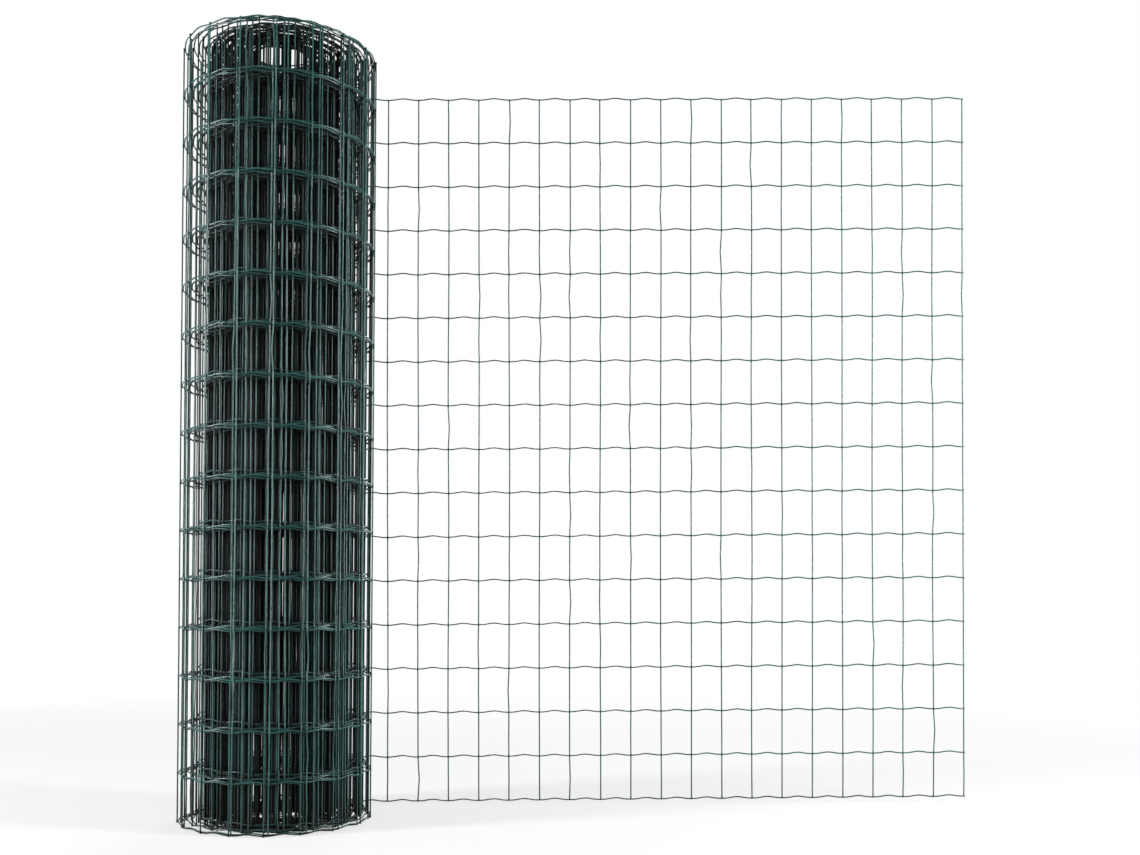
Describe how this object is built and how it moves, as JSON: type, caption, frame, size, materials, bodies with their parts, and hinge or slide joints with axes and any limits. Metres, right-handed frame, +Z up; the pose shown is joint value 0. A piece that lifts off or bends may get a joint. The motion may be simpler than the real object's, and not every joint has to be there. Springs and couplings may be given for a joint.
{
  "type": "roll of wire fencing",
  "caption": "Upright roll of dark green plastic-coated welded wire mesh fencing, with its free end drawn out to one side as a flat panel of crimped mesh.",
  "frame": {"origin": "on the roll's axis, level with the lower end it stands on", "axes": "+Z up along the roll's axis, +X along the free end, +Y towards the side of the roll that the free end leaves"},
  "size_m": [1.2935, 0.2999, 1.2051],
  "materials": {
    "coated_wire": "satin dark green plastic coat on steel wire"
  },
  "bodies": {
    "root": {"wound_roll": "coated_wire", "free_end": "coated_wire"}
  },
  "joints": []
}
